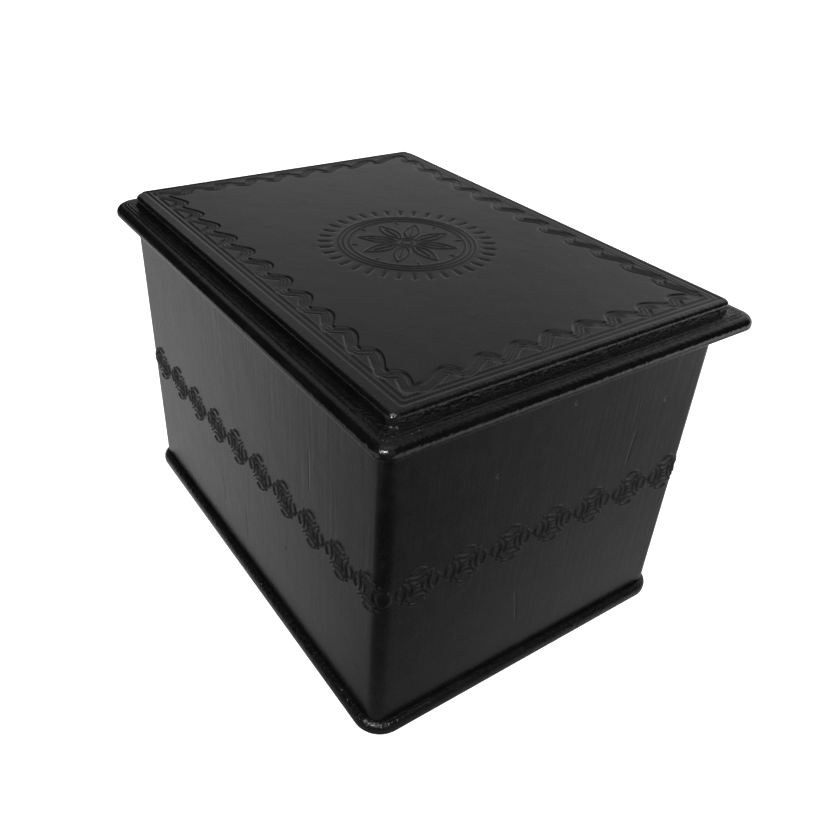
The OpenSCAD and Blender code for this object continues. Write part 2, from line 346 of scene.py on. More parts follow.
def board_finish(name):
    """Planed pale wood: growth bands, fine grain lines and slight colour change."""
    f = Finish(name)
    x, y, z = f.split(f.place())
    drift = f.noise(f.join(x * 0.012, y * 0.05, z * 0.05), 1.0)
    bands = ((y + z) * 0.9 + drift * 14.0).sine() * 0.5 + 0.5
    lines = f.noise(f.join(x * 0.06, y * 3.0, z * 3.0), 1.0, 3.0, 0.6)
    tone = f.blend(
        (bands * 0.55 + lines * 0.45).step(0.25, 0.8),
        rgba(f.looks.board_colour), rgba(f.looks.board_colour, 0.66))
    return f.surface({
        "Base Color": tone, "Roughness": 0.56 + lines * 0.16,
        "Normal": f.relief(lines * 0.05 + bands * 0.02)})


def steel_finish(name):
    """Drawn steel wire."""
    f = Finish(name)
    drawn = f.noise(f.place(), 4.0, 3.0, 0.6)
    tone = f.blend(drawn, rgba(f.looks.steel_colour), rgba(f.looks.steel_colour, 0.8))
    return f.surface({
        "Base Color": tone, "Metallic": 1.0, "Roughness": 0.26 + drawn * 0.14,
        "Normal": f.relief(drawn * 0.01)})


# Mesh helpers

def outline(length, width, radius, middle, counts):
    """Anticlockwise outline of a rectangle with round corners, from the start of its front.
    The radius is one number, or four: front right, back right, back left, front left."""
    long_n, short_n, corner_n = counts
    hx, hy = length / 2, width / 2
    a, b, c, d = (max(min(r, hx, hy), 0.02) for r in np.broadcast_to(radius, 4))
    centres = [(hx - a, -hy + a), (hx - b, hy - b), (-hx + c, hy - c), (-hx + d, -hy + d)]
    starts = [(-hx + d, -hy), (hx, -hy + a), (hx - b, hy), (-hx, hy - c)]
    ends = [(hx - a, -hy), (hx, hy - b), (-hx + c, hy), (-hx, -hy + d)]
    turns = (a, b, c, d)
    points = []
    for side in range(4):
        n = long_n if side % 2 == 0 else short_n
        first, last = np.array(starts[side]), np.array(ends[side])
        points += [first + (last - first) * i / n for i in range(n)]
        turn = math.radians(-90 + 90 * side)
        for j in range(corner_n):
            t = turn + math.radians(90) * j / corner_n
            points.append(np.array(centres[side]) + turns[side] * np.array([math.cos(t), math.sin(t)]))
    return np.array(points) + np.array(middle)


def grower(length, width, radius, middle, counts, follow=1.0):
    """A maker of matching rings from a section of (d, z): the rectangle grown by d, at the height z.
    A height is one number, or one for each point. The corner radius grows too, unless follow is 0."""
    def grow(section):
        rows = []
        for d, z in section:
            flat = outline(length + 2 * d, width + 2 * d, radius + follow * d, middle, counts)
            rows.append(np.c_[flat, np.broadcast_to(z, len(flat))])
        return rows
    return grow


def loft(rows, cap_start=False, cap_end=False, closed=False, flip=False):
    """Joins matching rings with four-sided faces."""
    n, m = len(rows[0]), len(rows)
    points = np.vstack(rows)
    last = m if closed else m - 1
    i = np.arange(n)
    j = (i + 1) % n
    faces = []
    for k in range(last):
        a, b = k * n, ((k + 1) % m) * n
        faces.append(np.c_[a + i, a + j, b + j, b + i])
    faces = np.vstack(faces).tolist()
    if cap_start:
        faces.append(list(range(n - 1, -1, -1)))
    if cap_end:
        faces.append(list(range((m - 1) * n, m * n)))
    return points, [face[::-1] for face in faces] if flip else faces


def shell(outer, inner):
    """Closes an outer skin and its inner skin, which are joined at the outer one's first ring."""
    n = len(outer[0])
    a, faces = loft(outer, cap_end=True)
    b, inner_faces = loft(inner, cap_start=True)
    faces += [[i + len(a) for i in face] for face in inner_faces]
    last = len(a) + len(b) - n
    faces += [[last + i, last + (i + 1) % n, (i + 1) % n, i] for i in range(n)]
    return np.vstack([a, b]), faces


def put(name, data):
    """Adds an object to the scene."""
    thing = bpy.data.objects.new(name, data)
    bpy.context.scene.collection.objects.link(thing)
    return thing


def make_piece(name, points, faces, finish, edge=None, smooth=True):
    """A mesh object; the edge attribute has a value for each ring or each point, or one for all."""
    mesh = bpy.data.meshes.new(name)
    mesh.from_pydata((np.asarray(points) * MM).tolist(), [], faces)
    mesh.validate()
    if edge is not None:
        mesh.attributes.new("edge", "FLOAT", "POINT").data.foreach_set(
            "value", np.repeat(np.asarray(edge, np.float32), len(points) // len(edge)))
    mesh.polygons.foreach_set("use_smooth", np.full(len(mesh.polygons), smooth))
    if smooth:
        mesh.set_sharp_from_angle(angle=math.radians(48))
    mesh.materials.append(finish)
    return put(name, mesh)


def arc(centre, radius, start, end, steps):
    """Points of an arc in a section, angles in degrees."""
    turns = np.radians(np.linspace(start, end, steps + 1))
    return [(centre[0] + radius * math.cos(t), centre[1] + radius * math.sin(t)) for t in turns]


def soft_levels(*groups):
    """Joins runs of levels given as (start, end, steps)."""
    levels = []
    for start, end, steps in groups:
        levels += list(np.linspace(start, end, steps, endpoint=False))
    levels.append(groups[-1][1])
    return levels


def settle(piece, body, slot, *nodes):
    """Ties a finished piece to its body and hides the CAD nodes it stands for. The slot is not used."""
    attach(piece, body)
    if nodes:
        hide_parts(*nodes)


# Tooling with Geometry Nodes

class Tool(Net):
    """One Geometry Nodes tree, put on a piece as a modifier and made a plain mesh."""

    def __init__(self, name, finish):
        super().__init__(bpy.data.node_groups.new(name, "GeometryNodeTree"))
        for way in ("OUTPUT", "INPUT"):
            self.tree.interface.new_socket("Geometry", in_out=way, socket_type="NodeSocketGeometry")
        self.start = self.node("NodeGroupInput")
        self.values = {}
        self.guides = []
        self.material = self.input("Material", "Material", finish)
        self.geometry = self.start.outputs["Geometry"]

    def input(self, name, kind, value):
        """Adds a named input, with the value that the modifier gives it."""
        socket = self.tree.interface.new_socket(name, in_out="INPUT", socket_type="NodeSocket" + kind)
        if kind == "Float":
            socket.default_value = value
        self.values[socket.identifier] = value
        return Value(self, self.start.outputs[name])

    def guide(self, name, thing):
        """Adds an input for a guide object and gives the guide's geometry."""
        self.guides.append(thing)
        thing = self.input(name, "Object", thing)
        return self.out("GeometryNodeObjectInfo", "Geometry", None, {"Object": thing})

    def press(self, geometry, lines, width, height, flat=0.0):
        """Lifts the geometry along its normals near the lines, to the given height.
        Lines without a flat top are marked in the tooled attribute."""
        near = self.out(
            "GeometryNodeProximity", "Distance", {"target_element": "EDGES"}, {"Geometry": lines})
        fade = self.out(
            "ShaderNodeMapRange", "Result", {"interpolation_type": "SMOOTHSTEP"},
            {"Value": near, "From Min": width * flat, "From Max": width, "To Min": 1.0, "To Max": 0.0})
        lift = self.vector("SCALE", self.out("GeometryNodeInputNormal", 0), fade * height)
        if not flat:
            marked = self.out(
                "GeometryNodeInputNamedAttribute", "Attribute", {"data_type": "FLOAT"}, {"Name": "tooled"})
            geometry = self.out(
                "GeometryNodeStoreNamedAttribute", 0, {"data_type": "FLOAT", "domain": "POINT"},
                {"Geometry": geometry, "Name": "tooled", "Value": marked.most(fade)})
        return self.out("GeometryNodeSetPosition", 0, None, {"Geometry": geometry, "Offset": lift})

    def along(self, path, places, stamp, upright):
        """Stamps set at their places, which are lengths along the path, and bent to follow it."""
        stamps = self.out("GeometryNodeInstanceOnPoints", 0, None, {"Points": places, "Instance": stamp})
        flat = self.out("GeometryNodeRealizeInstances", 0, None, {"Geometry": stamps})
        x, y, z = self.split(self.out("GeometryNodeInputPosition", 0))
        length = self.out("GeometryNodeCurveLength", 0, None, {"Curve": path})
        sample = self.node(
            "GeometryNodeSampleCurve", {"mode": "LENGTH"},
            {"Curves": path, "Length": x.math("FLOORED_MODULO", length)}).outputs
        across = self.join(0.0, 0.0, 1.0)
        if not upright:
            across = self.vector("CROSS_PRODUCT", across, sample["Tangent"])
        spot = self.vector("ADD", sample["Position"], self.vector("SCALE", across, y))
        spot = self.vector("ADD", spot, self.join(0.0, 0.0, z))
        return self.out("GeometryNodeSetPosition", 0, None, {"Geometry": flat, "Position": spot})

    def apply(self, piece, geometry):
        """Ends the tree, keeps its result on the piece as a plain mesh, and drops the guides."""
        whole = self.out("GeometryNodeRealizeInstances", 0, None, {"Geometry": geometry})
        done = self.out(
            "GeometryNodeSetMaterial", 0, None, {"Geometry": whole, "Material": self.material})
        self.node("NodeGroupOutput", None, {0: done})
        modifier = piece.modifiers.new(self.tree.name, "NODES")
        modifier.node_group = self.tree
        for identifier, value in self.values.items():
            modifier[identifier] = value
        bpy.context.view_layer.update()
        ready = piece.evaluated_get(bpy.context.evaluated_depsgraph_get())
        mesh = bpy.data.meshes.new_from_object(ready)
        piece.modifiers.remove(modifier)
        old = piece.data
        piece.data = mesh
        bpy.data.meshes.remove(old)
        mesh.polygons.foreach_set("use_smooth", np.full(len(mesh.polygons), True))
        for thing in self.guides:
            data = thing.data
            bpy.data.objects.remove(thing)
            kept_in = bpy.data.meshes if isinstance(data, bpy.types.Mesh) else bpy.data.curves
            kept_in.remove(data)


def guide_lines(name, strokes):
    """Loose edges that a tool reads: strokes of points in millimetres."""
    points, edges = [], []
    for stroke in strokes:
        first = len(points)
        points += [(p[0] * MM, p[1] * MM, (p[2] if len(p) > 2 else 0.0) * MM) for p in stroke]
        edges += [(first + i, first + i + 1) for i in range(len(stroke) - 1)]
    mesh = bpy.data.meshes.new(name)
    mesh.from_pydata(points, edges, [])
    return put(name, mesh)


def guide_path(name, points):
    """Closed path that a tool follows."""
    curve = bpy.data.curves.new(name, "CURVE")
    curve.dimensions = "3D"
    spline = curve.splines.new("POLY")
    spline.points.add(len(points) - 1)
    for point, at in zip(spline.points, points):
        point.co = (at[0] * MM, at[1] * MM, at[2] * MM, 1.0)
    spline.use_cyclic_u = True
    return put(name, curve)


def bow(a, middle, b, steps=8):
    """Points of a curve through three points."""
    a, m, b = (np.array(p, float) for p in (a, middle, b))
    c = 2 * m - (a + b) / 2
    return [tuple((1 - t) ** 2 * a + 2 * t * (1 - t) * c + t * t * b) for t in np.linspace(0, 1, steps + 1)]


def quatrefoil_lines():
    """Raised lines of one motif of the wall band: three arcs and two dots in each quarter."""
    strokes = [[(-0.5, 0.0), (0.5, 0.0)]]
    for turn, (c, s) in enumerate(((1, 0), (0, 1), (-1, 0), (0, -1))):
        out = 1.0 if turn % 2 else 0.93
        quarter = [bow((-half, low * out), (0, high * out), (half, low * out))
                   for half, low, high in ((2.5, 2.6, 1.9), (3.5, 5.6, 4.5), (2.7, 7.5, 8.5))]
        quarter += [[(u, v), (u + 0.5, v + 0.3)] for u, v in ((3.7, 3.7), (5.0, 4.8))]
        strokes += [[(u * c - v * s, u * s + v * c) for u, v in line] for line in quarter]
    return strokes


# Steps from one motif to the next, and how far each of the first ones is out of its place
MOTIF_PITCH = 19.98
BAND_SHIFTS = [0.1, 0.6, 0.4, 1.5, 1.8, 2.5, 2.7, 2.6, 2.0, 0.4]
# Height of the band's middle along the front wall, and from its right end round the other walls
BAND_LEVELS = [(-95, 63.3), (-66, 63.2), (-47, 63.0), (-25, 63.9), (-5, 65.4), (16, 66.1),
               (36, 66.9), (56, 67.3), (75, 67.8), (93, 69.1), (95, 69.2)]
BAND_ROUND = [(0, 69.2), (140, 69.0), (300, 68.0)]
# Way from the start of the front to the first motif, and half height of the band
BAND_START, BAND_HALF = 8.2, 9.5
# Thickness of the tooled strips, and depth of the trenches that take them
STRIP_T, TRENCH = 0.5, 0.55


def band_level(flat, straight):
    """Height of the band's middle at each point of an outline of the walls, and the whole way round."""
    run = np.r_[0, np.cumsum(np.linalg.norm(np.diff(np.vstack([flat, flat[:1]]), axis=0), axis=1))]
    whole, run = run[-1], run[:-1]
    xs, zs = zip(*BAND_LEVELS)
    turns, heights = zip(*BAND_ROUND)
    level = np.where(
        run <= straight, np.interp(run - straight / 2, xs, zs),
        np.interp(run, [*(straight + d for d in turns), whole], [*heights, BAND_LEVELS[0][1]]))
    return level, whole


class BOX_OT_walls(bpy.types.Operator):
    """Covers the walls in one strip of leather with the tooled band"""
    bl_idname = "leather_box.walls"
    bl_label = "Wall Leather and Band"

    def execute(self, context):
        sizes = context.scene.box_sizes
        corner_r, rim_r = sizes.corner_r / MM, sizes.rim_r / MM
        walls = (WALL_HIGH[0] - WALL_LOW[0], WALL_HIGH[1] - WALL_LOW[1], corner_r, (0, BODY_Y))
        straight = walls[0] - 2 * corner_r
        counts = (96, 68, 12)
        foot, rim = WALL_LOW[2], RIM_Z
        board_in = FRONT_BOARD_HIGH[1] - WALL_LOW[1]
        level = band_level(outline(*walls, counts), straight)[0]
        wall = grower(*walls, counts)
        section = [(0, z) for z in (foot, foot + 1, foot + 2, 25, 45)]
        section += [(0, level - BAND_HALF), (-TRENCH, level - BAND_HALF)]
        section += [(-TRENCH, level + BAND_HALF), (0, level + BAND_HALF)]
        section += [(0, z) for z in (90, 110, rim - rim_r - 1)]
        plain = len(section)
        section += arc((-rim_r, rim - rim_r), rim_r, 0, 90, 6)
        section += [(-board_in + 1.2, rim)]
        section += arc((-board_in + 0.8, rim - 0.8), 0.8, 90, 180, 4)
        section += [(-board_in, rim - 5), (-board_in, rim - 10.8), (-board_in + 0.5, rim - 10.8),
                    (-board_in + 0.5, rim - LEATHER_T), (-LEATHER_T, rim - LEATHER_T), (-LEATHER_T, foot)]
        points, faces = loft(wall(section), closed=True)
        edge = [0.4 if plain < k < plain + 8 else 0.0 for k in range(len(section))]
        finish = leather_finish(
            "wall leather", streaks=0.15,
            folds=[("right", 36.6, 83, 97, 0.08, 0.20, 0.9), ("right", 34.8, 100, 112, 0.0, 0.07, 0.9),
                   ("right", -10.0, 24, 41.5, -0.17, 0.16, 0.9), ("right", 11.5, 52, 62, 0.0, 0.08, 0.9),
                   ("front", 55, 84, 102, 0.0, 0.14, 0.9), ("front", -22.8, 24, 41, 0.0, 0.10, 0.9),
                   ("front", -0.8, 19, 39, 0.0, 0.10, 0.9), ("back", 60, -5, 140, 0.0, 0.5, 0.35)],
            dents=[("right", 50.1, 107, 1.4), ("right", -29, 103, 1.2), ("right", 1.8, 121, 1.2),
                   ("front", 35.8, 42.3, 1.3)])
        cover = make_piece("wall_cover", points, faces, finish, edge)
        settle(cover, "box", "leather", "wall_leather")
        self.tool_band(sizes, finish, walls, straight)
        return {"FINISHED"}

    def tool_band(self, sizes, finish, walls, straight):
        """Makes the strip in the walls and raises the band of quatrefoils on it."""
        counts = (480, 330, 14)
        level = band_level(outline(*walls, counts), straight)[0]
        wall = grower(*walls, counts)
        section = [(0, level + above) for above in np.linspace(-BAND_HALF, BAND_HALF, 46)]
        section += [(-STRIP_T, level + BAND_HALF), (-STRIP_T, level - BAND_HALF)]
        strip = make_piece("wall_band", *loft(wall(section), closed=True), finish, [0.0])
        flat = outline(*walls, (60, 40, 16))
        level, whole = band_level(flat, straight)
        count = round(whole / MOTIF_PITCH)
        shifts = BAND_SHIFTS + [0.0] * (count - len(BAND_SHIFTS))
        at = [[(BAND_START + whole / count * i + shift, 0)] for i, shift in enumerate(shifts)]
        tool = Tool("Band round the walls", finish)
        path = tool.guide("Path", guide_path("band_path", np.c_[flat, level]))
        places = tool.guide("Places", guide_lines("band_places", at))
        motif = tool.guide("Motif", guide_lines("band_motif", quatrefoil_lines()))
        links = tool.guide("Links", guide_lines("band_links", [[(8.6, 0), (11.4, 0)]]))
        width = tool.input("Line Half Width", "Float", sizes.motif_width)
        height = tool.input("Line Height", "Float", sizes.motif_height)
        raised = tool.press(tool.geometry, tool.along(path, places, motif, True), width, height)
        tool.apply(strip, tool.press(raised, tool.along(path, places, links, True), width, height * -0.3))
        settle(strip, "box", "leather")


class BOX_OT_plinth(bpy.types.Operator):
    """Covers the plinth in leather folded in underneath"""
    bl_idname = "leather_box.plinth"
    bl_label = "Plinth Leather"

    def execute(self, context):
        sizes = context.scene.box_sizes
        corner_r, edge_r = sizes.plinth_corner_r / MM, sizes.plinth_edge_r / MM
        length, width = PLINTH_HIGH[0] - PLINTH_LOW[0], PLINTH_HIGH[1] - PLINTH_LOW[1]
        low, high = PLINTH_LOW[2], PLINTH_HIGH[2]
        t = LEATHER_T
        under = -14.0
        section = [(under, low), (under + 3, low), (-edge_r - 1, low)]
        section += arc((-edge_r, low + edge_r), edge_r, -90, 0, 7)
        section += arc((-edge_r, high - edge_r), edge_r, 0, 90, 7)
        section += [(-edge_r - 0.5, high), (-6, high), (-20, high)]
        turned = [(-20, high - t), (-edge_r, high - t)]
        turned += arc((-edge_r, high - edge_r), edge_r - t, 90, 0, 3)
        turned += arc((-edge_r, low + edge_r), edge_r - t, 0, -90, 3)
        turned += [(under, low + t)]
        plinth = grower(length, width, corner_r, (0, BODY_Y), (180, 130, 14))
        points, faces = shell(plinth(section), plinth(turned))
        edge = [0.85 if d > -edge_r - 0.2 else 0.0 for d, z in section] + [0.0] * len(turned)
        cover = make_piece("plinth_cover", points, faces, leather_finish("plinth leather"), edge)
        settle(cover, "box", "leather", "plinth_leather")
        return {"FINISHED"}


# The wave border's outer line, in millimetres: its middle, length and width
WAVE_MIDDLE, WAVE_L, WAVE_W = (-0.8, 1.25), 190.0, 130.5
# Length of one wave, and of the step from bead to bead
WAVE_PITCH, BEAD_PITCH = 15.85, 1.25
# First wave and number of waves on a long side and on a short side
LONG_START, LONG_WAVES, SHORT_START, SHORT_WAVES = 2.4, 12, 5.2, 8
# Middle and edge of the disc that carries the medallion
MEDALLION, MEDALLION_R = (2.0, 1.1), 36.5
# The tooled frame runs from outside the fillets to inside the waves
BORDER_OUT, BORDER_IN, BORDER_R = 4.35, -10.5, 1.2


def wave_point(t, aside):
    """Point of one wave unit: t runs from trough to trough, aside is towards the inside."""
    turn = (t - 0.06) * 2 * math.pi
    height = 4.85 - 2.55 * math.cos(turn)
    slope = 2.55 * 2 * math.pi / WAVE_PITCH * math.sin(turn)
    reach = math.sqrt(1 + slope * slope)
    return t * WAVE_PITCH - aside * slope / reach, height + aside / reach


def wave_ribbon():
    """Middle line of the pressed ribbon over one unit, shallower where it comes back down."""
    return [[(*wave_point(t, 0.0), 1.9 * max(0.0, (t - 0.62) / 0.36) ** 1.5)
             for t in np.linspace(0.0, 0.98, 22)]]


def wave_lines():
    """Fine raised lines of one wave unit: three threads and the rungs between the upper two."""
    strokes = []
    for aside, first, last in ((-1.9, 0.05, 0.82), (-0.55, 0.0, 0.86), (0.85, -0.04, 0.82)):
        strokes.append([
            (*wave_point(t, aside), -0.26 + 0.5 * max(0.0, (t - 0.7) / 0.16) ** 2)
            for t in np.linspace(first, last, 20)])
    for t in np.linspace(0.06, 0.56, 9):
        strokes.append([(*wave_point(t, aside), -0.10) for aside in (-0.55, 0.85)])
    return strokes


class BOX_OT_lid(bpy.types.Operator):
    """Covers both tiers of the lid in one skin, with trenches for the tooled strips"""
    bl_idname = "leather_box.lid"
    bl_label = "Lid Leather"

    def execute(self, context):
        sizes = context.scene.box_sizes
        tier_r, tier_e = np.array(sizes.tier_corner_r) / MM, sizes.tier_edge_r / MM
        panel_r, panel_e = np.array(sizes.panel_corner_r) / MM, sizes.panel_edge_r / MM
        t = LEATHER_T
        counts = (150, 104, 14)
        panel_l = PANEL_HIGH[0] - PANEL_LOW[0] + 2 * t
        panel_w = PANEL_HIGH[1] - PANEL_LOW[1] + 2 * t
        open_l = LID_LINING_HIGH[0] - LID_LINING_LOW[0] + 0.4
        open_w = LID_LINING_HIGH[1] - LID_LINING_LOW[1] + 0.4
        tier = grower(LID_HIGH[0] - LID_LOW[0], LID_HIGH[1] - LID_LOW[1], tier_r, (0, 0), counts)
        panel = grower(panel_l, panel_w, panel_r, (0, 0), counts)
        opening = grower(open_l, open_w, 0.3, (0, BODY_Y), counts)
        frame_ring = grower(WAVE_L, WAVE_W, BORDER_R, WAVE_MIDDLE, counts, 0.0)
        low, mid, top = RIM_Z, TIER_TOP_Z, TOP_Z
        rows, rough = [], []

        def add(make, section, edge=0.0):
            rows.extend(make(section))
            rough.extend([edge] * len(section))

        add(opening, [(0, low)])
        add(tier, [(-tier_e - 1, low)] + arc((-1.0, low + 1.0), 1.0, -90, 0, 6), 0.08)
        # The rounded edge leans back to a flange, which slopes up to the panel and has two fine ridges
        leans = [math.radians(turn) for turn in range(2, 87, 12)]
        add(tier, [(-3.0 + 3.0 * math.cos(a), mid - 3.15 + 2.8 * math.sin(a)) for a in leans], 0.14)
        flange = ((3.5, 0.0), (4.0, 0.0), (4.15, 0.13), (4.45, 0.13), (4.7, -0.02),
                  (5.2, 0.0), (5.35, 0.13), (5.65, 0.13), (5.9, -0.02), (6.3, 0.0))
        add(tier, [(-inset, mid - 0.35 + (inset - 3.0) * 0.127 + rise) for inset, rise in flange], 0.45)
        add(panel, [(1.2, mid + 0.09)], 0.4)
        add(panel, arc((0.6, mid + 0.7), 0.6, 270, 180, 3), 0.3)
        add(panel, [(0.0, top - panel_e - 0.4)] + arc((-panel_e, top - panel_e), panel_e, 0, 90, 7), 0.22)
        add(panel, [(-panel_e - 0.05, top)], 0.15)
        add(frame_ring, [(BORDER_OUT, top), (BORDER_OUT, top - TRENCH)], 0.05)
        add(frame_ring, [(BORDER_IN, top - TRENCH), (BORDER_IN, top), (BORDER_IN - 0.5, top)])
        way = rows[-1][:, :2] - np.array(MEDALLION)
        way /= np.linalg.norm(way, axis=1)[:, None]
        disc = [(MEDALLION_R + 0.6, top), (MEDALLION_R, top), (MEDALLION_R, top - TRENCH)]
        add(lambda section: [
            np.c_[np.array(MEDALLION) + way * r, np.full(len(way), z)] for r, z in section], disc)
        back = panel([(-t - 2, top - t)] + arc((-panel_e, top - panel_e), panel_e - t, 90, 0, 3))
        back += panel([(-t, mid - t)]) + tier([(-tier_e, mid - t)])
        back += tier(arc((-tier_e, mid - tier_e), tier_e - t, 90, 0, 3))
        back += tier(arc((-tier_e, low + tier_e), tier_e - t, 0, -90, 3)) + opening([(0, low + t)])
        points, faces = shell(rows, back)
        edge = np.repeat(rough + [0.0] * len(back), len(way))
        # The near corner and the right side of the panel are pebbled most
        away = np.linalg.norm(points[:, :2] - np.array([panel_l / 2, -panel_w / 2]), axis=1)
        edge *= 1 + 1.2 * np.clip(1 - away / 26, 0, 1) + 0.9 * (points[:, 0] > panel_l / 2 - 1.6)
        cover = make_piece("lid_cover", points, faces, leather_finish("lid leather"), edge)
        settle(cover, "lid", "leather", "lid_leather")
        return {"FINISHED"}


class BOX_OT_border(bpy.types.Operator):
    """Tools the fillets and the wave border into the frame of the raised panel"""
    bl_idname = "leather_box.border"
    bl_label = "Lid Border"

    def execute(self, context):
        frame_ring = grower(WAVE_L, WAVE_W, BORDER_R, WAVE_MIDDLE, (588, 412, 14), 0.0)
        levels = soft_levels((BORDER_OUT, 0.0, 13), (0.0, BORDER_IN, 31))
        section = []
        for d in levels:
            dip = 0.0
            for line, half, depth in ((3.25, 1.1, 0.19), (1.25, 0.85, 0.14)):
                away = min(1.0, abs(d - line) / half)
                dip += depth * (0.5 + 0.5 * math.cos(math.pi * away))
            section.append((d, TOP_Z - dip))
        section += [(BORDER_IN, TOP_Z - STRIP_T), (BORDER_OUT, TOP_Z - STRIP_T)]
        edge = [0.05] * len(levels) + [0.0, 0.0]
        finish = leather_finish("border leather")
        strip = make_piece("lid_border", *loft(frame_ring(section), closed=True), finish, edge)
        self.tool_border(context.scene.box_sizes, strip, finish)
        settle(strip, "lid", "leather")
        return {"FINISHED"}

    def tool_border(self, sizes, strip, finish):
        """Presses the waves along the frame."""
        cx, cy = WAVE_MIDDLE
        corners = [(cx + a * WAVE_L / 2, cy + b * WAVE_W / 2, TOP_Z)
                   for a, b in ((-1, -1), (1, -1), (1, 1), (-1, 1))]
        tool = Tool("Wave border", finish)
        path = tool.guide("Path", guide_path("border_path", corners))
        width = tool.input("Ribbon Half Width", "Float", sizes.wave_width)
        depth = tool.input("Ribbon Depth", "Float", sizes.wave_depth)
        line = tool.input("Line Height", "Float", sizes.line_height)
        spots = []
        for side in (0, WAVE_L + WAVE_W):
            spots += [side + LONG_START + WAVE_PITCH * i for i in range(LONG_WAVES)]
            spots += [side + WAVE_L + SHORT_START + WAVE_PITCH * i for i in range(SHORT_WAVES)]
        dots = np.arange(0.6, 2 * (WAVE_L + WAVE_W), BEAD_PITCH)
        lines = {}
        for name, strokes, at in (
                ("Ribbon", wave_ribbon(), spots), ("Threads", wave_lines(), spots),
                ("Beads", [[(0, -0.15), (0.25, -0.15)]], dots)):
            stamp = tool.guide(name, guide_lines("border_" + name, strokes))
            places = guide_lines("border_places_" + name, [[(s, 0)] for s in at])
            places = tool.guide(name + " Places", places)
            lines[name] = tool.along(path, places, stamp, False)
        pressed = tool.press(tool.geometry, lines["Ribbon"], width, depth * -1.0, 0.72)
        pressed = tool.press(pressed, lines["Threads"], 0.58 * MM, line)
        tool.apply(strip, tool.press(pressed, lines["Beads"], 0.52 * MM, line * 0.8))


class BOX_OT_medallion(bpy.types.Operator):
    """Sets the ring, the rays and a plain rosette in the middle of the lid"""
    bl_idname = "leather_box.medallion"
    bl_label = "Lid Medallion"

    def execute(self, context):
        sizes = context.scene.box_sizes
        cx, cy = MEDALLION
        whole = 2 * math.pi

        def polar(r, a, lift=0.0):
            return cx + r * math.cos(a), cy + r * math.sin(a), TOP_Z + lift

        def circle(r, z, steps=330):
            turn = np.linspace(0, whole, steps, endpoint=False)
            return np.c_[cx + r * np.cos(turn), cy + r * np.sin(turn), np.full(steps, z)]

        rows = [circle(MEDALLION_R, TOP_Z - STRIP_T)]
        rows += [circle(r, TOP_Z) for r in np.arange(MEDALLION_R, 0.4, -0.5)]
        finish = leather_finish("medallion leather")
        disc = make_piece(
            "lid_medallion", *loft(rows, cap_start=True, cap_end=True), finish, [0.0])
        rings = [[polar(r, a) for a in np.linspace(0, whole, 121)] for r in (25.1, 26.9)]
        rays = []
        for i in range(sizes.ray_count):
            a = whole * i / sizes.ray_count
            rays.append([polar(29.6, a, 0.75), polar(31.0, a, 0.3), polar(34.2, a)])
        petals = [[polar(r, a) for a in np.linspace(0, whole, 61)] for r in (2.2, 4.2, 22.8)]
        half = whole / 16
        for i in range(8):
            a = whole * i / 8
            for side in (-1, 1):
                petals.append(bow(
                    polar(4.6, a), polar(11.5, a + side * half * 0.62), polar(19.5, a), 12))
            petals.append([polar(7.0, a), polar(15.0, a)])
            petals.append([polar(19.8, a + half), polar(21.6, a + half)])
        tool = Tool("Medallion", finish)
        raised = tool.input("Line Height", "Float", sizes.line_height * 1.2)
        geometry = tool.geometry
        for name, strokes, width, height in (
                ("Rings", rings, 0.75, raised), ("Rays", rays, 1.35, raised * -1.15),
                ("Rosette", petals, 0.75, raised)):
            lines = tool.guide(name, guide_lines("medallion_" + name, strokes))
            geometry = tool.press(geometry, lines, width * MM, height)
        tool.apply(disc, geometry)
        settle(disc, "lid", "leather")
        return {"FINISHED"}


class BOX_OT_hinge(bpy.types.Operator):
    """Makes the leather hinge: one strip from the back wall to the lid"""
    bl_idname = "leather_box.hinge"
    bl_label = "Hinge Leather"

    def execute(self, context):
        t = LEATHER_T
        half = STRIP_HIGH[0]
        wall_y, low = STRIP_LOW[1], STRIP_LOW[2]
        ax_y, ax_z = HINGE_AXIS[1], HINGE_AXIS[2]
        middle = [(wall_y + t / 2, z) for z in soft_levels((low, ax_z - 3.2, 10))]
        middle += bow((wall_y + t / 2, ax_z - 2.9), (ax_y + 0.25, ax_z - 0.5), (ax_y + 2.6, ax_z + t / 2), 10)
        middle += [(y, ax_z + t / 2) for y in soft_levels((ax_y + 2.9, FLAP_HIGH[1], 6))]
        middle = np.array(middle)
        run = np.gradient(middle, axis=0)
        run /= np.linalg.norm(run, axis=1)[:, None]
        side = np.c_[run[:, 1], -run[:, 0]]
        thick = np.full(len(middle), t / 2 - 0.02)
        thick[0], thick[-1] = t / 5, t / 5
        outer = middle + side * thick[:, None]
        inner = middle - side * thick[:, None]
        loop = np.vstack([outer, inner[::-1]])
        across = [-half, -half + 0.25] + list(np.linspace(-half + 1, half - 1, 60)) + [half - 0.25, half]
        spine = np.vstack([middle, middle[::-1]])
        rows = []
        for x in across:
            pinch = 0.55 if abs(x) >= half - 0.01 else 1.0
            shape = spine + (loop - spine) * pinch
            rows.append(np.c_[np.full(len(shape), x), shape])
        skin = loft(rows, cap_start=True, cap_end=True, flip=True)
        strip = make_piece("hinge_leather", *skin, leather_finish("hinge leather"), [0.12])
        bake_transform(strip)
        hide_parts("hinge_strip", "hinge_lid_flap")
        return {"FINISHED"}


